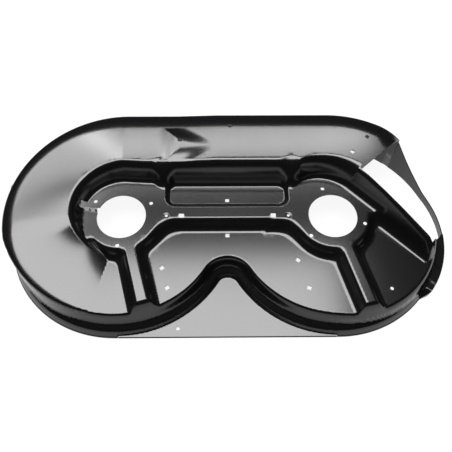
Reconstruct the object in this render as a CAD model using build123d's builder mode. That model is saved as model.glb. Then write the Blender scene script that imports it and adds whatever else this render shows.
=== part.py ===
"""Pressed steel deck shell of a two-spindle lawn mower.

Millimetres, Z up. The shell stands on its open rim at Z = 0, +Y is the front of
the machine, +X is the discharge side. The solid is an outer form less the same
form drawn one sheet thickness smaller, as a press tool and its punch would be.
"""

import os
from math import atan, cos, degrees, hypot, radians, sin, sqrt, tan

from build123d import *

# Sheet and driving plan sizes
sheet = 2.7
spindle_spacing = 533.4
rim_radius = 289.0
half_spacing = spindle_spacing / 2

# Heights above the rim
rear_plate_level = 11.0
skirt_level = 22.0
shoulder_level = 32.0
panel_level = 62.0
pocket_depth = 12.0
plate_level = 90.0
ramp_crease_level = 128.0
ramp_front_level = 145.0
boss_foot_level = 146.0
roof_level = 150.0

# Rear lobes: skirt, shoulder and wall radii about each spindle
skirt_top_radius = 278.0
wall_foot_radius = 261.0
panel_radius = 250.0
panel_edge_round = 12.0
notch_round = 22.0
shoulder_start = 262.0

# Rear plate that fills the notch between the lobes
rear_plate_half_width = 265.0
rear_plate_front = -100.0
rear_plate_round = 4.0

# Spindle plates, strip and ribs
plate_radius = 92.0
plate_draft = 26.0
plate_edge_round = 8.0
strip_rear = -9.0
strip_blend = 44.0
rib_angle = -74.5
rib_width = 32.0
rib_reach = 228.0
rib_offset = 3.0
block_front = 140.0
block_sink = 10.0
block_corner = 12.0
seat_reach = 150.0
left_seat_turn = 130.0
right_seat_turn = 95.0

# Pocket in the strip
pocket_half_width = 158.0
pocket_rear = 31.0
pocket_draft = 30.0
pocket_corner = 22.0

# Volute: the raised tunnel from the left lobe round the front to the discharge
well_radius = 106.0
front_wall = 106.0
ridge_wall = 86.0
ridge_angle = 45.0
inner_slope = 65.0
outer_draft = 2.5
outer_roll = 38.0
inner_roll = 20.0
ramp_start_angle = -104.0
ramp_crease_angle = -165.0
ramp_lead_in = 8.0
ramp_start_rim = 274.0
ramp_start_top = 249.0
ridge_drop_angle = 58.0
ridge_end_angle = -17.0
ridge_end_level = 115.0
ridge_foot_angle = -28.0
ridge_foot_sink = 6.0
ridge_foot_well = 215.0
ridge_end_roll = 12.0

# Wedge boss on the front tunnel
boss_left = -133.0
boss_right = -28.0
boss_middle = 177.0
boss_left_width = 50.0
boss_right_width = 14.0
boss_draft = 42.0
boss_sink = 26.0
boss_rise = 2.0
boss_corner = 6.0

# Discharge opening, in the frame turned to the ridge
discharge_face = 124.0
discharge_start = -25.0
discharge_end = 330.0
discharge_reach = 420.0
band_start_level = 132.0
band_middle = 45.0
band_middle_level = 50.0
band_end = 130.0
band_level = 19.0

# Flared skirt on the discharge side and ear on the left wall
flare_radius = 308.0
flare_start_angle = -33.0
flare_end_angle = 19.0
flare_level = 25.0
flare_round = 14.0
ear_angle = 166.0
ear_offset = 272.0
ear_radius = 30.0
ear_level = 104.0
ear_round = 12.0

# Holes
spindle_bore = 123.0
bolt_circle = 163.6
bolt_hole = 10.0
left_bolt_phase = 27.5
right_bolt_phase = 103.5
bolt_count = 3
square_hole = 10.0
strip_square = 12.5
strip_square_x = 116.0
strip_round_x = 154.0
strip_round = 7.5
strip_hole_y = 1.5
round_hole = 9.0
pocket_hole = (0.0, 52.0)
heart_hole = (0.0, -41.5)
boss_hole = (-121.5, 191.5)
front_holes = [(8.5, 238.5), (322.0, 155.0), (366.0, 201.5)]
panel_hole = (395.5, -186.5)
rear_hole = (-121.0, -267.0)

# Square holes in the lobes, each as radius and angle about its own spindle
left_lobe_holes = [(167.0, -51.0), (218.0, -56.5)]
right_lobe_holes = [(144.0, -130.0), (197.0, -111.0)]

# Sections that the volute is lofted through
ramp_steps = 4
ring_steps = 5
turn_steps = 8


def heart_outline(inset):
    """Rim of both lobes and the front, with the rounded notch between the lobes."""
    reach = rim_radius + notch_round
    notch_y = -sqrt(reach**2 - half_spacing**2)
    radius = rim_radius - inset
    share = radius / reach
    notch_x = half_spacing * (1 - share)
    with BuildSketch() as outline:
        with BuildLine():
            notch = ThreePointArc((-notch_x, notch_y * share), (0, notch_y + notch_round + inset),
                                  (notch_x, notch_y * share))
            right = ThreePointArc(notch @ 1, (half_spacing + radius, 0), (half_spacing, radius))
            front = Line(right @ 1, (-half_spacing, radius))
            ThreePointArc(front @ 1, (-half_spacing - radius, 0), notch @ 0)
        make_face()
    return outline.sketch


def heart_body(inset):
    """Both lobes up to the level of the panels."""
    foot = rim_radius - wall_foot_radius
    edge = rim_radius - panel_radius
    knee = shoulder_level - inset
    with BuildPart() as body:
        with BuildSketch():
            add(heart_outline(inset))
        extrude(amount=knee, taper=degrees(atan(foot / knee)))
        with BuildSketch(Plane.XY.offset(knee)):
            add(heart_outline(inset + foot))
        height = panel_level - shoulder_level
        extrude(amount=height, taper=degrees(atan((edge - foot) / height)))
        fillet(body.faces().sort_by(Axis.Z)[-1].edges(), panel_edge_round - inset)
    return body.part


def shoulder_pads(inset):
    """Fuller skirt with a shoulder, on the outer side of each lobe only."""
    knee = skirt_level - inset
    centre = (Align.CENTER, Align.CENTER, Align.MIN)
    with BuildPart() as pads:
        with Locations((half_spacing, 0, 0), (-half_spacing, 0, 0)):
            Cone(rim_radius - inset, skirt_top_radius - inset, knee, align=centre)
        with Locations((half_spacing, 0, knee), (-half_spacing, 0, knee)):
            Cone(skirt_top_radius - inset, wall_foot_radius - inset, shoulder_level - skirt_level, align=centre)
        Box(2 * (shoulder_start + inset), 4 * rim_radius, 4 * roof_level, mode=Mode.SUBTRACT)
    return pads.part


def rear_plate(inset):
    """Low flat plate behind the notch, with its lip turned down."""
    width = 2 * (rear_plate_half_width - inset)
    depth = rim_radius + rear_plate_front - inset
    with BuildPart() as plate:
        with BuildSketch():
            with Locations((0, rear_plate_front)):
                Rectangle(width, depth, align=(Align.CENTER, Align.MAX))
        extrude(amount=rear_plate_level - inset)
        fillet(plate.faces().sort_by(Axis.Z)[-1].edges().sort_by(Axis.Y)[0], rear_plate_round - inset / 2)
    return plate.part


def seat(spindle_x, turn, reach):
    """Half disc that carries a spindle plate on under the volute wall."""
    with BuildSketch() as half:
        with Locations((spindle_x, 0)):
            Circle(reach)
            Rectangle(2 * reach, 2 * reach, rotation=turn, align=(Align.MAX, Align.CENTER), mode=Mode.SUBTRACT)
    return half.sketch


def spindle_distance(vertex):
    """Distance in plan from a point to the nearer spindle."""
    return hypot(abs(vertex.X) - half_spacing, vertex.Y)


def plate_block(inset):
    """Spindle plates, the strip between them and the two ribs, less the pocket."""
    bottom = panel_level - block_sink
    height = plate_level - inset - bottom
    grow = height * tan(radians(plate_draft)) - inset / cos(radians(plate_draft))
    strip_line = strip_rear - grow
    shift = (rib_offset * cos(radians(rib_angle + 90)), rib_offset * sin(radians(rib_angle + 90)))
    with BuildPart() as block:
        with BuildSketch(Plane.XY.offset(bottom)) as outline:
            with Locations((half_spacing, 0), (-half_spacing, 0)):
                Circle(plate_radius + grow)
            with Locations((half_spacing + shift[0], shift[1]), (-half_spacing + shift[0], shift[1])):
                Rectangle(rib_reach + grow, rib_width + 2 * grow, rotation=rib_angle,
                          align=(Align.MIN, Align.CENTER))
            add(seat(-half_spacing, left_seat_turn, seat_reach + grow))
            add(seat(half_spacing, right_seat_turn, seat_reach + grow))
            with Locations((0, strip_line)):
                Rectangle(spindle_spacing, block_front - strip_line, align=(Align.CENTER, Align.MIN))
            far = seat_reach + grow - 1
            inner = outline.vertices().filter_by(lambda v: spindle_distance(v) < far and abs(v.Y - strip_line) > 1)
            fillet(inner, block_corner)
            fillet(outline.vertices().filter_by(lambda v: spindle_distance(v) > far), block_corner + grow)
            fillet(outline.vertices().filter_by(lambda v: abs(v.Y - strip_line) < 0.01), strip_blend - grow)
        extrude(amount=height, taper=plate_draft)
        fillet(block.faces().sort_by(Axis.Z)[-1].edges(), plate_edge_round - inset)
        add(pocket(inset), mode=Mode.SUBTRACT)
    return block.part


def pocket(inset):
    """Shallow pocket pressed into the strip, open to the front wall."""
    floor = plate_level - pocket_depth - inset
    height = 2 * pocket_depth
    grow = inset / cos(radians(pocket_draft))
    with BuildPart() as hollow:
        with BuildSketch(Plane.XY.offset(floor)) as outline:
            with Locations((0, pocket_rear - grow)):
                Rectangle(2 * (pocket_half_width + grow), block_front - pocket_rear,
                          align=(Align.CENTER, Align.MIN))
            fillet(outline.vertices().group_by(Axis.Y)[0], pocket_corner)
        extrude(amount=height, taper=-pocket_draft)
    return hollow.part


def volute_section(origin_x, angle, top, rim, top_radius, well, stretch, roll_out, roll_in, inset):
    """Radial section of the volute: rim, outer wall, roof and inner wall."""
    direction = (cos(radians(angle)), sin(radians(angle)), 0)
    plane = Plane(origin=(origin_x, 0, 0), x_dir=direction, z_dir=(direction[1], -direction[0], 0))
    lean = stretch / tan(radians(inner_slope))
    well_edge = well + inset * stretch / sin(radians(inner_slope))
    roof = top - inset
    outer_top = (top_radius - inset, roof)
    inner_top = (well_edge + (roof - plate_level) * lean, roof)
    with BuildSketch(plane) as section:
        with BuildLine():
            Polyline((rim - inset, 0), outer_top, inner_top, (well_edge - plate_level * lean, 0), close=True)
        make_face()
        fillet(section.vertices().sort_by_distance(outer_top)[0], roll_out - inset)
        fillet(section.vertices().sort_by_distance(inner_top)[0], roll_in - inset)
    return section.sketch


def straight_radius(top):
    """Radius of the leaning outer wall at a height."""
    return rim_radius - top * tan(radians(outer_draft))


def left_station(turn, inset):
    """Section of the left ring, at an angle turned back from the start of the ramp."""
    crease_turn = ramp_start_angle - ramp_crease_angle
    full_turn = ramp_start_angle + 270
    if turn <= crease_turn:
        top = panel_level + (ramp_crease_level - panel_level) * turn / crease_turn
    else:
        share = (turn - crease_turn) / (full_turn - crease_turn)
        top = ramp_crease_level + (ramp_front_level - ramp_crease_level) * share
    grown = min(max(turn / crease_turn, 0), 1)
    rim = ramp_start_rim + (rim_radius - ramp_start_rim) * grown
    top_radius = ramp_start_top + (straight_radius(top) - ramp_start_top) * grown
    roll = panel_edge_round + (outer_roll - panel_edge_round) * grown
    return volute_section(-half_spacing, ramp_start_angle - turn, top, rim, top_radius,
                          well_radius, 1, roll, inner_roll, inset)


def front_station(x, top, inset):
    """Section of the straight front tunnel."""
    return volute_section(x, 90, top, rim_radius, straight_radius(top), front_wall, 1,
                          outer_roll, inner_roll, inset)


def right_station(angle, inset):
    """Section round the right spindle, where the inner wall runs straight to the ridge."""
    to_ridge = 1 / cos(radians(angle - ridge_angle))
    well = ridge_wall * to_ridge
    stretch = to_ridge
    if angle > ridge_angle and front_wall / sin(radians(angle)) < well:
        stretch = 1 / sin(radians(angle))
        well = front_wall * stretch
    share = max(ridge_drop_angle - angle, 0) / (ridge_drop_angle - ridge_end_angle)
    top = roof_level - (roof_level - ridge_end_level) * share**2
    roll = outer_roll + (ridge_end_roll - outer_roll) * (90 - angle) / (90 - ridge_end_angle)
    return volute_section(half_spacing, angle, top, rim_radius, straight_radius(top), well, stretch,
                          roll, ridge_end_roll, inset)


def ridge_foot(inset):
    """Last section of the ridge, sunk below the panel that it runs down to."""
    return volute_section(half_spacing, ridge_foot_angle, panel_level - ridge_foot_sink, ramp_start_rim,
                          ramp_start_top, ridge_foot_well, 1, ridge_end_roll, ridge_end_roll, inset)


def spread(first, last, steps):
    """Even values from first to last."""
    return [first + (last - first) * i / steps for i in range(steps + 1)]


def volute(inset):
    """Raised tunnel: ramp out of the left lobe, left ring, straight front and right turn."""
    crease_turn = ramp_start_angle - ramp_crease_angle
    full_turn = ramp_start_angle + 270
    ramp_turns = spread(-ramp_lead_in, crease_turn, ramp_steps)
    ring_turns = spread(crease_turn, full_turn, ring_steps)
    right_angles = spread(90, ridge_end_angle, turn_steps)
    fronts = [(-half_spacing, ramp_front_level), (boss_left, boss_foot_level),
              (boss_right, roof_level), (half_spacing, roof_level)]
    with BuildPart() as tunnel:
        loft([left_station(turn, inset) for turn in ramp_turns])
        loft([left_station(turn, inset) for turn in ring_turns])
        for start, end in zip(fronts, fronts[1:]):
            loft([front_station(*start, inset), front_station(*end, inset)], ruled=True)
        loft([right_station(angle, inset) for angle in right_angles])
        loft([right_station(ridge_end_angle, inset), ridge_foot(inset)], ruled=True)
    return tunnel.part


def boss(inset):
    """Wedge boss whose flat top meets the rising roof at its right end."""
    top = roof_level + boss_rise - inset
    bottom = top - boss_sink
    grow = boss_sink * tan(radians(boss_draft)) - inset / cos(radians(boss_draft))
    left = boss_left - grow
    right = boss_right + grow
    left_half = boss_left_width / 2 + grow
    right_half = boss_right_width / 2 + grow
    corners = [(left, boss_middle - left_half), (right, boss_middle - right_half),
               (right, boss_middle + right_half), (left, boss_middle + left_half)]
    with BuildPart() as wedge:
        with BuildSketch(Plane.XY.offset(bottom)) as outline:
            Polygon(*corners, align=None)
            fillet(outline.vertices(), boss_corner + grow)
        extrude(amount=boss_sink, taper=boss_draft)
        fillet(wedge.faces().sort_by(Axis.Z)[-1].edges(), boss_corner - inset)
    return wedge.part


def flare(inset):
    """Skirt that stands out past the rim on the discharge side."""
    middle = (flare_start_angle + flare_end_angle) / 2
    spread = (flare_end_angle - flare_start_angle) / 2
    reach = 2 * flare_radius
    side = reach * tan(radians(spread))
    with BuildPart() as skirt:
        with BuildSketch() as outline:
            with Locations((half_spacing, 0)):
                Circle(flare_radius)
                Triangle(a=2 * side, B=90 - spread, C=90 - spread, rotation=middle + 90,
                         align=(Align.CENTER, Align.MAX), mode=Mode.INTERSECT)
            fillet(outline.vertices().sort_by(Axis.X)[-2:], flare_round)
            offset(amount=-inset, mode=Mode.REPLACE)
        extrude(amount=flare_level - inset, taper=outer_draft)
    return skirt.part


def ear(inset):
    """Rounded swelling in the left wall."""
    place = (-half_spacing + ear_offset * cos(radians(ear_angle)), ear_offset * sin(radians(ear_angle)))
    with BuildPart() as swelling:
        with BuildSketch():
            with Locations(place):
                Circle(ear_radius - inset)
        extrude(amount=ear_level - inset, taper=outer_draft)
        fillet(swelling.faces().sort_by(Axis.Z)[-1].edges(), ear_round - inset)
    return swelling.part


def form(inset):
    """Whole outside of the pressing, drawn in by inset."""
    with BuildPart() as body:
        add(heart_body(inset))
        add(shoulder_pads(inset))
        add(rear_plate(inset))
        add(plate_block(inset))
        add(volute(inset))
        add(boss(inset))
        add(flare(inset))
        add(ear(inset))
    return body.part


def discharge_opening():
    """Everything above the side band and outside the ridge, seen square to the ridge."""
    across = (cos(radians(ridge_angle)), sin(radians(ridge_angle)), 0)
    along = (across[1], -across[0], 0)
    origin = (half_spacing + discharge_face * across[0], discharge_face * across[1], 0)
    face = Plane(origin=origin, x_dir=along, z_dir=(-across[0], -across[1], 0))
    above = 2 * roof_level
    with BuildPart() as opening:
        with BuildSketch(face):
            with BuildLine():
                band = ThreePointArc((discharge_start, band_start_level), (band_middle, band_middle_level),
                                     (band_end, band_level))
                Polyline(band @ 1, (discharge_end, band_level), (discharge_end, above),
                         (discharge_start, above), band @ 0)
            make_face()
        extrude(amount=-discharge_reach)
    return opening.part


def square_holes():
    """Square bolt holes: place, side and turn of each."""
    with BuildSketch() as holes:
        with Locations((strip_square_x, strip_hole_y), (-strip_square_x, strip_hole_y)):
            Rectangle(strip_square, strip_square)
        with Locations(pocket_hole, heart_hole, boss_hole):
            Rectangle(square_hole, square_hole)
        with Locations(*front_holes):
            Rectangle(square_hole, square_hole, rotation=45)
        for spindle_x, ring in ((-half_spacing, left_lobe_holes), (half_spacing, right_lobe_holes)):
            for radius, angle in ring:
                x = spindle_x + radius * cos(radians(angle))
                with Locations((x, radius * sin(radians(angle)))):
                    Rectangle(square_hole, square_hole, rotation=angle)
    return holes.sketch


def round_holes():
    """Spindle bores with their bolt circles, and the single round holes."""
    with BuildSketch() as holes:
        for spindle_x, phase in ((-half_spacing, left_bolt_phase), (half_spacing, right_bolt_phase)):
            with Locations((spindle_x, 0)):
                Circle(spindle_bore / 2)
                with PolarLocations(bolt_circle / 2, bolt_count, start_angle=phase):
                    Circle(bolt_hole / 2)
        with Locations((strip_round_x, strip_hole_y), (-strip_round_x, strip_hole_y)):
            Circle(strip_round / 2)
        with Locations(panel_hole, rear_hole):
            Circle(round_hole / 2)
    return holes.sketch


with BuildPart() as pressing:
    add(form(0))
    add(form(sheet), mode=Mode.SUBTRACT)
    add(discharge_opening(), mode=Mode.SUBTRACT)
    with BuildSketch():
        add(square_holes())
        add(round_holes())
    extrude(amount=2 * roof_level, mode=Mode.SUBTRACT)

# The origin is the middle of the footprint, on the rim plane
box = pressing.part.bounding_box()
with BuildPart() as deck_shell:
    with Locations((-box.center().X, -box.center().Y, -box.min.Z)):
        add(pressing.part)
deck_shell.part.label = "deck_shell"

os.makedirs("parts", exist_ok=True)
export_step(deck_shell.part, "parts/deck_shell.step")
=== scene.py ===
"""Studio scene of the mower deck: pressed shell, paint, floor, softboxes and the photograph's camera."""

from math import radians

import bpy
import numpy as np
from mathutils import Matrix, Vector
from mathutils.geometry import delaunay_2d_cdt


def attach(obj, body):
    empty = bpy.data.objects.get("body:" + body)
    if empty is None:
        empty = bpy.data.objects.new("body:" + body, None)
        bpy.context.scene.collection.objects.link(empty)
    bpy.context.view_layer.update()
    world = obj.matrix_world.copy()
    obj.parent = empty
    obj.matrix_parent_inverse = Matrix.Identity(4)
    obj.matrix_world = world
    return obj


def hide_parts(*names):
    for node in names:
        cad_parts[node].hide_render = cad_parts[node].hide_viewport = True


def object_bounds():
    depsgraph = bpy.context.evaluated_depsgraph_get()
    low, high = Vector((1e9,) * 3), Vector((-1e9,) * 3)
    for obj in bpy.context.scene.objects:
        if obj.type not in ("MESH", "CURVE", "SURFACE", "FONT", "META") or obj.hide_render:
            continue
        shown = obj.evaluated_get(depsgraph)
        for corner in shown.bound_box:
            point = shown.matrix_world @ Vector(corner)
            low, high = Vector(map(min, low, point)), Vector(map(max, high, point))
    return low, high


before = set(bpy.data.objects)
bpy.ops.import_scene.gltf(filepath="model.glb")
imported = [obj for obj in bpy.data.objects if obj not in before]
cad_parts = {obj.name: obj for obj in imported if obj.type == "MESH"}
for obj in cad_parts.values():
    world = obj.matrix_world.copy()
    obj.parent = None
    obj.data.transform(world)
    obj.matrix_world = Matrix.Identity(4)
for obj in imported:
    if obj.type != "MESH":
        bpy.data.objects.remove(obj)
cad_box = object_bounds()

# Camera, fitted to the spindle holes, the bolt circles and the rim
camera_place = Vector((-0.0245, -0.6678, 1.2742))
camera_tilt = 28.33
camera_roll = 0.556
camera_yaw = 0.664
photo_pixels = 452
focal_pixels = 539.66
sensor_mm = 36.0
nearest_seen = 0.01

# Paint
paint_colour = (0.003, 0.003, 0.0033, 1.0)
paint_roughness = 0.17
roughness_spread = 0.02
paint_ior = 1.5
peel_size = 0.0035
peel_height = 0.000004
peel_detail = 2.0
drift_size = 0.18
drift_detail = 4.0

# Floor
floor_size = 14.0
floor_colour = (0.86, 0.86, 0.86, 1.0)
floor_glow = 0.92

# Softboxes: place, aim, width, height and power
top_place = (-0.40, 0.26, 2.70)
top_size = (2.6, 1.75)
top_power = 180.0
back_place = (-0.06, 2.31, 2.95)
back_aim = (0.0, 0.2, 0.15)
back_size = (2.88, 0.30)
back_power = 46.5
left_place = (-1.75, 1.85, 2.75)
left_aim = (-0.4, 0.1, 0.1)
left_size = (1.1, 0.9)
left_power = 32.0
world_grey = 0.02

# Pressing: plan sizes in millimetres from the middle between the spindles, heights above the rim
mm_per_metre = 1000.0
frame_shift = -7.04
half_spacing = 266.7
sheet = 2.7
rim_radius = 287.0
rear_plate_level = 11.0
rear_plate_half_width = 265.0
flare_level = 25.0
panel_level = 62.0
plate_level = 90.0
crease_level = 125.0
crease_blend = 7.0
ring_level = 145.0
roof_level = 149.0
pocket_level = 78.0
edge_blend = 14.0
cove_blend = 24.0

# Rear lobes: inset from the rim and height of the skirt, the shoulder and the panel's edge
wall_insets = (0.0, 9.0, 26.0, 37.0)
wall_heights = (0.0, 22.0, 32.0, 62.0)
wall_slope = 2.7
knee_offsets = (-4.0, -2.7, -1.3, 0.0, 1.3, 2.7, 4.0)
notch_y = -163.8
notch_round = 26.0
skirt_bulge = 6.5
bulge_growth = 3.0
swell_place = (287.4, -7.5)
swell_radius = 258.0
swell_insets = (0.0, 1.5, 13.0)
swell_heights = (0.0, 32.0, 62.0)
swell_blend = 8.0

# Flared skirt on the discharge side and ear on the left wall
flare_shift = (39.6, -16.0)
flare_radius = 258.0
flare_end = radians(-43.0)
flare_round = radians(6.0)
flare_blend = 12.0
flare_margin = 1.0
ear_angle = radians(163.5)
ear_half_turn = radians(7.0)
ear_rise = 15.0
ear_foot = 3.0
ear_level = 104.0
ear_roll = 12.0

# Spindle plates, strip, ribs and pocket
plate_radius = 92.0
plate_slope = 2.05
strip_rear = -9.0
strip_blend = 50.0
rib_angle = radians(-74.5)
rib_half_width = 16.0
rib_offset = 3.0
rib_blend = 16.0
seat_reach = 150.0
left_seat_turn = radians(130.0)
right_seat_turn = radians(93.0)
pocket_half_width = 157.0
pocket_rear = 31.0
pocket_front = 130.0
pocket_corner = 25.0
pocket_slope = 1.7
pocket_blend = 8.0
knuckle_x = 164.0
knuckle_half_width = 34.0
knuckle_depth = 13.0

# Volute: the raised tunnel from the left lobe round the front to the ridge
ramp_well = 100.0
ring_well = 107.0
front_wall = 103.0
front_lead = 60.0
bow_place = (236.7, 10.0)
bow_radius = 106.0
inner_slope = 3.08
ridge_slope = 2.25
inner_blend = 44.0
ramp_start = radians(-104.0)
ramp_lead = radians(45.0)
ramp_turn = radians(61.0)
ring_turn = radians(166.0)
ramp_foot_inset = 13.0
ramp_top_inset = 35.0
wall_draw = 1.0
ramp_roll = 10.0
ring_roll = 30.0
roll_width = 52.0
roll_steepness = 0.22
edge_roll = 6.0
roof_corner = (467.0, 205.0)
corner_reach = 75.0
corner_drop = 16.0

# Ridge: angle of its wall, and its height by the distance along it from the spindle
ridge_angle = radians(45.0)
ridge_wall = 91.9
ridge_places = (0.0, 60.0, 120.0, 170.0, 209.0, 232.0, 248.0, 262.0)
ridge_heights = (149.0, 143.0, 132.0, 121.0, 112.0, 92.0, 56.0, 20.0)
ridge_blend = 14.0
ridge_free = 100.0

# Wedge boss on the front tunnel
boss_left = -133.0
boss_right = -28.0
boss_middle = 177.0
boss_left_half = 25.0
boss_right_half = 7.0
boss_rise = 2.9
boss_blend = 3.0
boss_slope = 0.2

# Discharge opening, in a frame turned to the ridge, and the band left below it
cut_angle = radians(41.5)
cut_face = 121.0
cut_start = -28.0
cut_end = 212.0
face_slope = 3.0
band_level = 22.0
band_rise = 89.0
band_end = 130.0
band_power = 2.2

# Holes: middle, size and turn
bore_radius = 61.5
bolt_circle = 81.8
bolt_radius = 5.0
bolt_count = 3
left_bolt_phase = 27.5
right_bolt_phase = 103.5
square_corners = 4
square_half = 5.0
strip_square_half = 6.25
strip_square = (116.0, 1.5)
strip_round = (154.0, 1.5)
strip_round_radius = 3.75
dimple_radius = 8.0
dimple_depth = 2.0
round_radius = 4.5
round_places = ((395.5, -186.5), (-121.0, -267.0))
upright_squares = ((0.0, 52.0), (0.0, -41.5), (-121.5, 191.5))
corner_turn = 45.0
corner_squares = ((8.5, 238.5), (322.0, 155.0), (366.0, 201.5))
left_lobe_squares = ((167.0, -51.0), (218.0, -56.5))
right_lobe_squares = ((144.0, -130.0), (197.0, -111.0))

# Mesh: grid, rows along the rim, points round the holes, and the bend above which the fine grid is kept
grid_half_length = 565.0
grid_half_width = 290.0
fine_step = 3.0
coarse_every = 4
bend_limit = 0.05
rim_rows = (0.5, 0.95, 1.1, 1.6, 2.4, 3.5, 5.0, 7.0, 9.5, 12.5)
rim_clear = 14.0
ear_clear = 0.6
least_area = 0.01
rim_step = 4.0
cut_steps = 40
end_search = 8
fewest_points = 16
hole_gap = 1.2
merge_gap = 1e-5
probe = 0.04
rim_margin = 0.05
tiny = 1e-9


def soft_max(a, b, blend):
    """Larger of two values, rounded over where they come within the blend of each other."""
    near = np.maximum(blend - np.abs(a - b), 0) / blend
    return np.maximum(a, b) + near * near * blend / 4


def soft_min(a, b, blend):
    """Smaller of two values, rounded over in the same way."""
    return -soft_max(-a, -b, blend)


def share(value, first, last):
    """How far a value has gone from first to last, held between 0 and 1."""
    return np.clip((value - first) / (last - first), 0, 1)


def ease(part):
    """A share from 0 to 1, level at both ends."""
    return part * part * (3 - 2 * part)


def unit(vectors):
    """Vectors drawn to a length of one."""
    return vectors / np.maximum(np.linalg.norm(vectors, axis=1, keepdims=True), tiny)


def circle_reach(angle, shift, radius):
    """Distance from a spindle to a circle whose middle is shifted from it, at an angle."""
    across = shift[0] * np.cos(angle) + shift[1] * np.sin(angle)
    side = shift[0] * np.sin(angle) - shift[1] * np.cos(angle)
    return np.where(np.abs(side) < radius, across + np.sqrt(np.maximum(radius**2 - side**2, 0)), 0)


def ear_swell(angle):
    """How far the ear stands out of the left wall at an angle."""
    off = np.minimum(np.abs(angle - ear_angle) / ear_half_turn, 1)
    return ear_rise * (1 + np.cos(np.pi * off)) / 2


def left_rim(angle):
    """Distance from the left spindle to the rim, with the fuller rear skirt and the ear."""
    bulge = skirt_bulge * np.maximum(-np.cos(angle), 0) * np.clip(-bulge_growth * np.sin(angle), 0, 1)
    return rim_radius + bulge + ear_swell(angle)


def right_rim(angle):
    """Distance from the right spindle to the rim, with the flared skirt."""
    flare = np.maximum(circle_reach(angle, flare_shift, flare_radius) - rim_radius, 0)
    return rim_radius + flare * ease(share(angle, flare_end, flare_end + flare_round))


def polar(x, y, spindle_x):
    """Distance and angle about a spindle."""
    return np.hypot(x - spindle_x, y), np.arctan2(y, x - spindle_x)


def rim_inset(x, y):
    """Distance inside the rim."""
    left, left_angle = polar(x, y, -half_spacing)
    right, right_angle = polar(x, y, half_spacing)
    inset = np.where(x < -half_spacing, left_rim(left_angle) - left, rim_radius - np.abs(y))
    return np.where(x > half_spacing, right_rim(right_angle) - right, inset)


def cut_frame(x, y):
    """Distance outwards and along, in the frame of the discharge opening."""
    dx = x - half_spacing
    return (dx * np.cos(cut_angle) + y * np.sin(cut_angle), dx * np.sin(cut_angle) - y * np.cos(cut_angle))


def soft_profile(inset, insets, heights):
    """Height by the inset, along straight runs with rounded knees, going on up past the last."""
    total = 0
    for off in knee_offsets:
        moved = inset + off
        total = total + np.interp(moved, insets, heights) + wall_slope * np.maximum(moved - insets[-1], 0)
    return total / len(knee_offsets)


def lobe_wall(x, y):
    """Height of the lobes' outer walls, going on up past the panel."""
    left, left_angle = polar(x, y, -half_spacing)
    right = np.hypot(x - half_spacing, y)
    beside = rim_radius - np.minimum(left, right)
    beside = np.where(x < -half_spacing, left_rim(left_angle) - left, beside)
    over_notch = y - notch_y > np.abs(x) * -notch_y / half_spacing
    inset = np.where(over_notch & (np.abs(x) < half_spacing), np.hypot(x, y - notch_y) - notch_round, beside)
    swell = swell_radius - np.hypot(x - swell_place[0], y - swell_place[1])
    wall = soft_profile(inset, wall_insets, wall_heights)
    return soft_max(wall, soft_profile(swell, swell_insets, swell_heights), swell_blend)


def plate_edge(x, y):
    """Distance inside the outline of the spindle plates, strip and ribs."""
    inside = np.minimum(y - strip_rear, half_spacing - np.abs(x))
    for spindle_x, turn in ((-half_spacing, left_seat_turn), (half_spacing, right_seat_turn)):
        dx = x - spindle_x
        out = np.hypot(dx, y)
        inside = soft_max(inside, plate_radius - out, strip_blend)
        along = dx * np.cos(rib_angle) + y * np.sin(rib_angle)
        off = y * np.cos(rib_angle) - dx * np.sin(rib_angle) - rib_offset
        inside = soft_max(inside, np.minimum(rib_half_width - np.abs(off), along), rib_blend)
        seat = np.minimum(seat_reach - out, dx * np.cos(turn) + y * np.sin(turn))
        inside = soft_max(inside, seat, rib_blend)
    return inside


def pocket_edge(x, y):
    """Distance inside the pocket's rounded outline."""
    middle = (pocket_rear + pocket_front) / 2
    dx = np.abs(x) - pocket_half_width + pocket_corner
    dy = np.abs(y - middle) - (pocket_front - pocket_rear) / 2 + pocket_corner
    return pocket_corner - np.hypot(np.maximum(dx, 0), np.maximum(dy, 0)) - np.minimum(np.maximum(dx, dy), 0)


def ring_turns(x, y):
    """How far the ramp, and then the ring after it, have gone round the left spindle."""
    angle = polar(x, y, -half_spacing)[1]
    turn = np.mod(ramp_start - angle + ramp_lead, 2 * np.pi) - ramp_lead
    return turn / ramp_turn, (turn - ramp_turn) / (ring_turn - ramp_turn)


def front_inset(x, y):
    """Distance in front of the foot of the front tunnel's inner wall, which is drawn in at the knuckles."""
    off = np.minimum(np.abs(np.abs(x) - knuckle_x) / knuckle_half_width, 1)
    draw = knuckle_depth * (1 + np.cos(np.pi * off)) / 2
    run = (roof_level - plate_level) / inner_slope
    bow_side = np.maximum(bow_radius**2 - (x - bow_place[0])**2, 0)
    wall = np.maximum(front_wall, np.where(x > 0, bow_place[1] + np.sqrt(bow_side), 0))
    lead = share(-x, half_spacing - front_lead, half_spacing)
    wall = np.where(x < 0, front_wall + (ring_well - front_wall) * lead, wall)
    return (y - wall + draw) * run / (run + draw)


def bow_polar(x, y):
    """Distance and angle about the middle of the bow round the right plate."""
    return np.hypot(x - bow_place[0], y - bow_place[1]), np.arctan2(y - bow_place[1], x - bow_place[0])


def on_ridge_side(x, y):
    """Whether points lie past the bow, beside the ridge."""
    return (x > bow_place[0]) & (bow_polar(x, y)[1] < ridge_angle)


def ridge_line(x, y):
    """Distance along the ridge, distance outside its wall and height of its top."""
    dx = x - half_spacing
    place = dx * np.sin(ridge_angle) - y * np.cos(ridge_angle)
    inside = dx * np.cos(ridge_angle) + y * np.sin(ridge_angle) - ridge_wall
    return place, inside, np.interp(place, ridge_places, ridge_heights)


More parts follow.
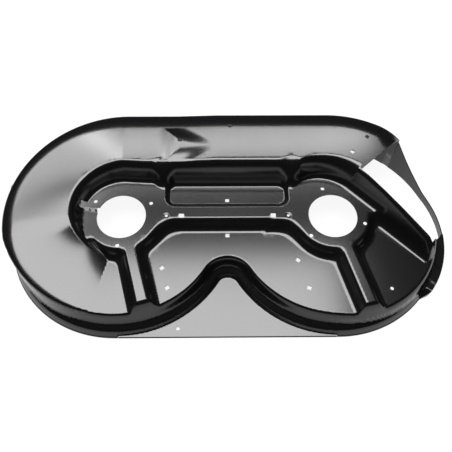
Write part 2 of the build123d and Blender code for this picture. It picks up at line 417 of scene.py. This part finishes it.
def tunnel_roof(x, y, shell):
    """Height of the tunnel's top alone, and of its roof with the inner wall on its cove and the boss."""
    ramped, rounded = ring_turns(x, y)
    ring_top = soft_min(panel_level + (crease_level - panel_level) * ramped,
                        crease_level + (ring_level - crease_level) * rounded, crease_blend)
    well = ramp_well + (ring_well - ramp_well) * np.clip(rounded, 0, 1)
    bow, bow_angle = bow_polar(x, y)
    ridge_side = on_ridge_side(x, y)
    _, ridge_in, ridge_top = ridge_line(x, y)
    in_ring = x < -half_spacing
    inside = np.where(x < bow_place[0], front_inset(x, y), bow - bow_radius)
    inside = np.where(in_ring, np.hypot(x + half_spacing, y) - well, inside)
    inside = np.where(ridge_side, ridge_in, inside)
    lean = share(bow_angle, np.pi / 2, ridge_angle) * (x > bow_place[0])
    slope = inner_slope + (ridge_slope - inner_slope) * lean
    front_top = ring_level + (roof_level - ring_level) * share(x, boss_left, boss_right)
    top = np.where(in_ring, ring_top, np.where(ridge_side, ridge_top, front_top))
    coved = soft_max(shell, plate_level + inside * slope, cove_blend)
    roof = soft_min(top, coved, np.where(ridge_side, ridge_blend, inner_blend))
    bossed = soft_max(roof, boss(x, y), boss_blend)
    return top, np.where(roof > front_top - boss_blend, bossed, roof)


def tunnel_outside(x, y, top):
    """Height that the outer wall, its roll and the ridge's outer face allow."""
    ramped, rounded = ring_turns(x, y)
    in_ring = x < -half_spacing
    grown = np.where(in_ring, np.clip(ramped, 0, 1), 1)
    round_the_ring = np.where(in_ring, np.clip(rounded, 0, 1), 1)
    foot = ramp_foot_inset * (1 - grown)
    wall_top = ramp_top_inset + (wall_draw - ramp_top_inset) * grown
    width = ramp_roll + (ring_roll - ramp_roll) * grown + (roll_width - ring_roll) * round_the_ring
    drop = width * roll_steepness
    inset = np.where(x > half_spacing, rim_radius - np.hypot(x - half_spacing, y), rim_radius - y)
    inset = np.where(in_ring, rim_radius - np.hypot(x + half_spacing, y), inset)
    corner = 1 - share(np.hypot(x - roof_corner[0], y - roof_corner[1]), 0, corner_reach)
    top = top - corner_drop * corner**2
    rolled = 1 - share(inset, wall_top, wall_top + width)
    edge = 1 - share(inset, wall_top, wall_top + edge_roll)
    roll = top - drop * rolled**2 - edge_roll * (1 - np.sqrt(np.maximum(1 - edge**2, 0)))
    outer = np.where(inset < wall_top, (top - drop - edge_roll) * (inset - foot) / (wall_top - foot), roll)
    place, _, ridge_top = ridge_line(x, y)
    free = (on_ridge_side(x, y) & (place > ridge_free)) | ((inset > wall_top + width) & (corner == 0))
    outer = np.where(free, roof_level + boss_rise, outer)
    out, along = cut_frame(x, y)
    faced = soft_min(outer, ridge_top - (out - cut_face) * face_slope, ridge_blend)
    return np.where(along > cut_end - probe, faced, outer)


def add_volute(x, y, shell):
    """Height with the raised tunnel."""
    top, roof = tunnel_roof(x, y, shell)
    tunnel = np.minimum(roof, tunnel_outside(x, y, top))
    return np.where((y > 0) & ~on_ridge_side(x, y), tunnel, np.maximum(shell, tunnel))


def boss(x, y):
    """Height of the wedge boss, which falls to the roof at its right end."""
    gone = share(x, boss_left, boss_right)
    half = boss_left_half + (boss_right_half - boss_left_half) * gone
    edge = np.minimum(half - np.abs(y - boss_middle), x - boss_left)
    rise = boss_rise - (boss_rise + boss_blend) * gone
    return roof_level + soft_min(rise, rise + boss_slope * edge, boss_blend)


def add_flare(x, y, shell):
    """Height with the flared skirt behind the discharge opening."""
    right, angle = polar(x, y, half_spacing)
    begun = share(angle, flare_end, flare_end + flare_round)
    flared = soft_max(shell, flare_level * begun, flare_blend * np.maximum(begun, probe))
    here = (x > half_spacing) & (y < 0) & (angle > flare_end) & (right < right_rim(angle) + flare_margin)
    return np.where(here, flared, shell)


def add_ear(x, y, shell):
    """Height with the ear on the left wall."""
    left, angle = polar(x, y, -half_spacing)
    stands_out = share(ear_swell(angle), 0, ear_foot) * (x < -half_spacing)
    fall = 1 - share(left_rim(angle) - left, 0, ear_roll)
    top = ear_level - ear_roll * (1 - np.sqrt(np.maximum(1 - fall**2, 0)))
    return np.maximum(shell, top * stands_out)


def raised_plate(x, y):
    """Height of the spindle plates, strip and ribs, with the pocket and the dimples."""
    plate = soft_min(np.full_like(x, plate_level), plate_level + plate_slope * plate_edge(x, y), edge_blend)
    pocket = np.full_like(x, pocket_level)
    hollow = soft_max(pocket, plate_level - pocket_slope * pocket_edge(x, y), pocket_blend)
    plate = soft_min(plate, hollow, pocket_blend)
    for side in (-1, 1):
        off = np.hypot(x - side * strip_round[0], y - strip_round[1])
        plate = plate - dimple_depth * share(off, dimple_radius, strip_round_radius)
    return plate


def height(x, y):
    """Height of the outside of the pressing over a point of the plan."""
    wall = lobe_wall(x, y)
    panel = soft_min(wall, np.full_like(x, panel_level), edge_blend)
    rear = rear_plate_level * (np.abs(x) < rear_plate_half_width) * (y < 0)
    panel = soft_max(panel, rear, edge_blend / 2)
    end = np.maximum(panel, soft_min(wall, np.full_like(x, plate_level), cove_blend))
    shell = np.minimum(soft_max(panel, raised_plate(x, y), cove_blend), end)
    shell = add_volute(x, y, shell)
    shell = add_flare(x, y, shell)
    shell = add_ear(x, y, shell)
    return np.maximum(shell, 0)


def circle_loop(middle, radius):
    """Points round a circular hole."""
    count = fewest_points + 2 * int(radius // 2)
    turns = np.arange(count) * 2 * np.pi / count
    return np.stack([middle[0] + radius * np.cos(turns), middle[1] + radius * np.sin(turns)], 1)


def square_loop(middle, half, turn):
    """Corners of a square hole."""
    turns = radians(turn) + np.pi / 4 + np.arange(square_corners) * np.pi / 2
    reach = half * np.sqrt(2)
    return np.stack([middle[0] + reach * np.cos(turns), middle[1] + reach * np.sin(turns)], 1)


def on_circle(spindle_x, radius, turn):
    """Point at a radius and an angle about a spindle."""
    return spindle_x + radius * np.cos(radians(turn)), radius * np.sin(radians(turn))


def hole_loops():
    """Every hole: middle, reach and outline."""
    holes = []
    for spindle_x, phase in ((-half_spacing, left_bolt_phase), (half_spacing, right_bolt_phase)):
        holes.append(((spindle_x, 0.0), bore_radius, circle_loop((spindle_x, 0.0), bore_radius)))
        for bolt in range(bolt_count):
            middle = on_circle(spindle_x, bolt_circle, phase + bolt * 360 / bolt_count)
            holes.append((middle, bolt_radius, circle_loop(middle, bolt_radius)))
    for side in (-1, 1):
        middle = (side * strip_round[0], strip_round[1])
        holes.append((middle, strip_round_radius, circle_loop(middle, strip_round_radius)))
    holes += [(middle, round_radius, circle_loop(middle, round_radius)) for middle in round_places]
    squares = [((side * strip_square[0], strip_square[1]), strip_square_half, 0) for side in (-1, 1)]
    squares += [(middle, square_half, 0) for middle in upright_squares]
    squares += [(middle, square_half, corner_turn) for middle in corner_squares]
    squares += [(on_circle(-half_spacing, *spot), square_half, spot[1]) for spot in left_lobe_squares]
    squares += [(on_circle(half_spacing, *spot), square_half, spot[1]) for spot in right_lobe_squares]
    holes += [(middle, half, square_loop(middle, half, turn)) for middle, half, turn in squares]
    return holes


def discharge_ends():
    """Angles about the right spindle at which the rim meets the discharge opening."""
    rear = 0.0
    for _ in range(end_search):
        rear = cut_angle - np.arcsin(cut_end / right_rim(np.array(rear)))
    return cut_angle + np.arcsin(-cut_start / rim_radius), rear


def rim_path(inset):
    """Plan points of the rim, drawn in, from the front end of the discharge round to its rear end."""
    front_end, rear_end = discharge_ends()
    step = rim_step / rim_radius
    turn = np.arange(front_end, np.pi / 2, step)
    left_turn = np.arange(np.pi / 2, 3 * np.pi / 2, step)
    last_turn = np.append(np.arange(-np.pi / 2, rear_end - step / 2, step), rear_end)
    line = np.arange(half_spacing, -half_spacing, -rim_step)
    front = np.stack([line, np.full_like(line, rim_radius - inset)], 1)
    bends = ((half_spacing, turn, right_rim(turn)), (-half_spacing, left_turn, left_rim(left_turn)),
             (half_spacing, last_turn, right_rim(last_turn)))
    arcs = [np.stack([spindle_x + (reach - inset) * np.cos(angle), (reach - inset) * np.sin(angle)], 1)
            for spindle_x, angle, reach in bends]
    return np.concatenate([arcs[0], front, arcs[1], -front, arcs[2]])


def cut_point(along):
    """Point of the discharge opening's inner side, at a distance along it."""
    return np.array([half_spacing + cut_face * np.cos(cut_angle) + along * np.sin(cut_angle),
                     cut_face * np.sin(cut_angle) - along * np.cos(cut_angle)])


def in_plan(x, y, gap):
    """Whether points lie in the sheet's plan, off the discharge opening by a gap."""
    out, along = cut_frame(x, y)
    beside = (out < cut_face - gap) | (along < cut_start - gap) | (along > cut_end + gap)
    return (rim_inset(x, y) > 0) & beside


def behind_ear(x, y):
    """Whether points lie at the foot of the ear, where rows follow the tunnel's wall instead of the rim."""
    left, angle = polar(x, y, -half_spacing)
    off = np.abs(angle - ear_angle)
    return (off < ear_half_turn) & (left < rim_radius + ear_clear) & (left > rim_radius - rim_clear)


def behind_ear_rows():
    """Plan points along the tunnel's wall where the ear covers the rim."""
    turn = np.arange(ear_angle - ear_half_turn, ear_angle + ear_half_turn, rim_step / rim_radius)
    reach = rim_radius - np.array((-ear_clear, 0.0) + rim_rows)[:, None]
    x = reach * np.cos(turn) - half_spacing
    y = reach * np.sin(turn)
    inside = rim_inset(x, y) > hole_gap / 2
    return np.stack([x[inside], y[inside]], 1)


def outline():
    """Plan points of the sheet's edge: the rim, and the inner side of the discharge opening."""
    rim = rim_path(0.0)
    corners = [rim[-1], cut_point(cut_end), cut_point(cut_start), rim[0]]
    parts = np.linspace(0, 1, cut_steps, endpoint=False)[:, None]
    cut = [first + (last - first) * parts for first, last in zip(corners, corners[1:])]
    return np.concatenate([rim[:-1]] + cut)


def grid_points():
    """Plan points of a grid that is fine where the height bends."""
    x, y = np.meshgrid(np.arange(-grid_half_length, grid_half_length + 1, fine_step),
                       np.arange(-grid_half_width, grid_half_width + 1, fine_step))
    row, column = np.indices(x.shape)
    here = height(x, y)
    bend = sum(np.abs(height(x + dx, y + dy) + height(x - dx, y - dy) - 2 * here)
               for dx, dy in ((fine_step, 0), (0, fine_step), (fine_step, fine_step)))
    keep = (bend > bend_limit) | ((row % coarse_every == 0) & (column % coarse_every == 0))
    keep &= (rim_inset(x, y) > rim_clear) & ~behind_ear(x, y)
    return np.stack([x[keep], y[keep]], 1)


def spread_points(holes):
    """Plan points of the grid and of the rows along the rim, clear of holes and discharge opening."""
    spread = [grid_points(), behind_ear_rows()]
    for inset in rim_rows:
        row = rim_path(inset)[1:-1]
        spread.append(row[~behind_ear(row[:, 0], row[:, 1])])
    spread = np.concatenate(spread)
    free = in_plan(spread[:, 0], spread[:, 1], hole_gap)
    for middle, _, loop in holes:
        reach = np.hypot(*(loop[0] - middle))
        free &= np.hypot(spread[:, 0] - middle[0], spread[:, 1] - middle[1]) > reach + hole_gap
    return spread[free]


def plan_mesh():
    """Triangles of the sheet's plan, with its edge and holes kept as edges."""
    holes = hole_loops()
    loops = [outline()] + [loop for _, _, loop in holes]
    edges = []
    start = 0
    for loop in loops:
        count = len(loop)
        edges += [(start + i, start + (i + 1) % count) for i in range(count)]
        start += count
    points = np.concatenate(loops + [spread_points(holes)])
    result = delaunay_2d_cdt([Vector(point) for point in points], edges, [], 0, merge_gap)
    plan = np.array([tuple(point) for point in result[0]])
    triangles = np.array(result[2])
    middle = plan[triangles].mean(1)
    inside = in_plan(middle[:, 0], middle[:, 1], 0.0)
    for place, reach, loop in holes:
        closest = np.hypot(middle[:, 0] - place[0], middle[:, 1] - place[1])
        inner = np.cos(np.pi / len(loop)) if len(loop) > square_corners else 1.0
        inside &= closest > reach * inner
    return plan, triangles[inside]


def outward(x, y):
    """Unit normal of the outside of the pressing."""
    slope_x = (height(x + probe, y) - height(x - probe, y)) / (2 * probe)
    slope_y = (height(x, y + probe) - height(x, y - probe)) / (2 * probe)
    return unit(np.stack([-slope_x, -slope_y, np.ones_like(x)], 1))


def strip(low, high, first, last, facing):
    """Four-cornered faces between two rows of points, with the normals of their corners."""
    corners = np.stack([low[first], low[last], high[last], high[first]], 1)
    normals = np.stack([facing[first], facing[last], facing[last], facing[first]], 1)
    across = np.cross(corners[:, 2] - corners[:, 0], corners[:, 3] - corners[:, 1])
    real = np.linalg.norm(across, axis=1) > least_area
    return corners[real], normals[real]


def turned_right(edge):
    """Level unit vectors to the right of edges seen in plan."""
    return unit(np.stack([edge[:, 1], -edge[:, 0], np.zeros(len(edge))], 1))


def rim_strips(top, under, first, last):
    """Outer wall, inner wall and lower edge along the rim."""
    floor = top * (1, 1, 0)
    inner_floor = under * (1, 1, 0)
    right = turned_right(top[last] - top[first])
    facing = np.zeros_like(top)
    np.add.at(facing, first, right)
    np.add.at(facing, last, right)
    facing = unit(facing)
    down = np.zeros_like(top) - (0, 0, 1)
    return [strip(floor, top, first, last, facing), strip(inner_floor, under, last, first, -facing),
            strip(inner_floor, floor, first, last, down)]


def cut_strips(top, under, first, last):
    """Faces through the sheet round the holes and along the discharge opening."""
    right = turned_right(top[last] - top[first])
    count = np.arange(len(first))
    low = np.concatenate([under[first], under[last]])
    high = np.concatenate([top[first], top[last]])
    return [strip(low, high, count, count + len(first), np.concatenate([right, right]))]


def band_strips():
    """Low band of the outer wall that stays under the discharge opening."""
    front_end, rear_end = discharge_ends()
    turn = np.arange(rear_end, front_end + rim_step / rim_radius, rim_step / rim_radius)
    out = np.stack([np.cos(turn), np.sin(turn), np.zeros_like(turn)], 1)
    floor = out * right_rim(turn)[:, None] + (half_spacing, 0, 0)
    along = cut_frame(floor[:, 0], floor[:, 1])[1]
    level = band_level + band_rise * share(along, band_end, cut_start) ** band_power
    inner_floor = floor - out * sheet
    rise = np.stack([np.zeros_like(turn), np.zeros_like(turn), level], 1)
    up = np.zeros_like(floor) + (0, 0, 1)
    first = np.arange(len(turn) - 1)
    last = first + 1
    return [strip(floor, floor + rise, first, last, out),
            strip(inner_floor, inner_floor + rise, last, first, -out),
            strip(floor + rise, inner_floor + rise, first, last, up),
            strip(inner_floor, floor, first, last, -up)]


def build_shell():
    """The pressed sheet with soft bends: outside, inside, rim, hole edges and band as one mesh."""
    plan, triangles = plan_mesh()
    x, y = plan[:, 0].copy(), plan[:, 1].copy()
    normal = outward(x, y)
    top = np.stack([x, y, height(x, y)], 1)
    under = top - sheet * normal
    under[:, 2] = np.maximum(under[:, 2], 0)
    first = triangles[:, [0, 1, 2]].ravel()
    last = triangles[:, [1, 2, 0]].ravel()
    single = ~np.isin(first * len(plan) + last, last * len(plan) + first)
    first, last = first[single], last[single]
    inset = rim_inset(x, y)
    on_rim = (inset[first] < rim_margin) & (inset[last] < rim_margin)
    strips = rim_strips(top, under, first[on_rim], last[on_rim])
    strips += cut_strips(top, under, first[~on_rim], last[~on_rim]) + band_strips()
    points = np.concatenate([top, under] + [corners.reshape(-1, 3) for corners, _ in strips])
    normals = np.concatenate([normal, -normal] + [facing.reshape(-1, 3) for _, facing in strips])
    quads = np.arange(2 * len(plan), len(points)).reshape(-1, 4)
    faces = triangles.tolist() + (triangles[:, ::-1] + len(plan)).tolist() + quads.tolist()
    mesh = bpy.data.meshes.new("pressed_shell")
    mesh.from_pydata(((points + (frame_shift, 0, 0)) / mm_per_metre).tolist(), [], faces)
    mesh.polygons.foreach_set("use_smooth", np.ones(len(faces), bool))
    mesh.normals_split_custom_set_from_vertices(normals.tolist())
    shell = bpy.data.objects.new("pressed_shell", mesh)
    bpy.context.scene.collection.objects.link(shell)
    return shell


def add_node(tree, kind, place, **values):
    """Adds a shader node and sets its input sockets by name."""
    node = tree.nodes.new(kind)
    node.location = place
    for name, value in values.items():
        node.inputs[name.replace("_", " ")].default_value = value
    return node


def new_material(name):
    """Material with an empty node tree."""
    material = bpy.data.materials.new(name)
    material.use_nodes = True
    material.node_tree.nodes.clear()
    return material, material.node_tree


def black_paint():
    """Semi-gloss black paint on pressed sheet: orange peel, and slow changes of gloss."""
    material, tree = new_material("black_paint")
    link = tree.links.new
    out = add_node(tree, "ShaderNodeOutputMaterial", (900, 0))
    shader = add_node(tree, "ShaderNodeBsdfPrincipled", (600, 0), Base_Color=paint_colour, IOR=paint_ior)
    place = add_node(tree, "ShaderNodeTexCoord", (-700, 0))
    drift = add_node(tree, "ShaderNodeTexNoise", (-400, 150), Scale=1 / drift_size, Detail=drift_detail)
    gloss = add_node(tree, "ShaderNodeMapRange", (0, 150))
    gloss.inputs["To Min"].default_value = paint_roughness - roughness_spread
    gloss.inputs["To Max"].default_value = paint_roughness + roughness_spread
    peel = add_node(tree, "ShaderNodeTexNoise", (-400, -250), Scale=1 / peel_size, Detail=peel_detail)
    bump = add_node(tree, "ShaderNodeBump", (200, -250), Strength=1.0, Distance=peel_height)
    link(place.outputs["Object"], drift.inputs["Vector"])
    link(place.outputs["Object"], peel.inputs["Vector"])
    link(drift.outputs["Fac"], gloss.inputs["Value"])
    link(gloss.outputs["Result"], shader.inputs["Roughness"])
    link(peel.outputs["Fac"], bump.inputs["Height"])
    link(bump.outputs["Normal"], shader.inputs["Normal"])
    link(shader.outputs["BSDF"], out.inputs["Surface"])
    return material


def floor_material():
    """Pale floor that shows white to the camera and still takes a shadow."""
    material, tree = new_material("pale_floor")
    link = tree.links.new
    out = add_node(tree, "ShaderNodeOutputMaterial", (700, 0))
    mix = add_node(tree, "ShaderNodeMixShader", (450, 0))
    matt = add_node(tree, "ShaderNodeBsdfDiffuse", (150, 0), Color=floor_colour)
    glow = add_node(tree, "ShaderNodeEmission", (150, -200), Strength=1.0)
    path = add_node(tree, "ShaderNodeLightPath", (-500, 200))
    seen = add_node(tree, "ShaderNodeMath", (-250, 200))
    seen.operation = "MAXIMUM"
    through = add_node(tree, "ShaderNodeMath", (-50, 200))
    through.operation = "MAXIMUM"
    shown = add_node(tree, "ShaderNodeMath", (150, 200))
    shown.operation = "MULTIPLY"
    shown.inputs[1].default_value = floor_glow
    link(path.outputs["Is Camera Ray"], seen.inputs[0])
    link(path.outputs["Is Glossy Ray"], seen.inputs[1])
    link(seen.outputs["Value"], through.inputs[0])
    link(path.outputs["Is Transmission Ray"], through.inputs[1])
    link(through.outputs["Value"], shown.inputs[0])
    link(shown.outputs["Value"], mix.inputs["Fac"])
    link(matt.outputs["BSDF"], mix.inputs[1])
    link(glow.outputs["Emission"], mix.inputs[2])
    link(mix.outputs["Shader"], out.inputs["Surface"])
    return material


def add_floor():
    """Plain floor under the rim."""
    bpy.ops.mesh.primitive_plane_add(size=floor_size, location=(0, 0, cad_box[0].z))
    floor = bpy.context.object
    floor.name = "floor"
    floor.data.materials.append(floor_material())


def add_softbox(name, place, aim, size, power):
    """Rectangular area light aimed at a point."""
    lamp = bpy.data.lights.new(name, "AREA")
    lamp.shape = "RECTANGLE"
    lamp.size, lamp.size_y = size
    lamp.energy = power
    lamp_object = bpy.data.objects.new(name, lamp)
    lamp_object.location = place
    direction = Vector(aim) - Vector(place)
    lamp_object.rotation_euler = direction.to_track_quat("-Z", "Y").to_euler()
    bpy.context.scene.collection.objects.link(lamp_object)


def add_world():
    """Dim even surroundings."""
    world = bpy.data.worlds.new("studio")
    world.use_nodes = True
    background = world.node_tree.nodes["Background"]
    background.inputs["Color"].default_value = (world_grey, world_grey, world_grey, 1)
    bpy.context.scene.world = world


def add_camera():
    """Camera at the photograph's place, nearly square above and behind the deck."""
    data = bpy.data.cameras.new("camera")
    data.sensor_width = sensor_mm
    data.lens = focal_pixels / photo_pixels * sensor_mm
    data.clip_start = nearest_seen
    camera = bpy.data.objects.new("camera", data)
    turn = (Matrix.Rotation(radians(-camera_yaw), 4, "Y") @ Matrix.Rotation(radians(camera_tilt), 4, "X")
            @ Matrix.Rotation(radians(-camera_roll), 4, "Z"))
    camera.matrix_world = Matrix.Translation(camera_place) @ turn
    bpy.context.scene.collection.objects.link(camera)
    bpy.context.scene.camera = camera


shell = build_shell()
shell.data.materials.append(black_paint())
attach(shell, "root")
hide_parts("deck_shell")
add_floor()
add_softbox("top_softbox", top_place, (top_place[0], top_place[1], 0), top_size, top_power)
add_softbox("back_softbox", back_place, back_aim, back_size, back_power)
add_softbox("left_softbox", left_place, left_aim, left_size, left_power)
add_world()
add_camera()
bpy.context.scene.view_settings.view_transform = "Standard"
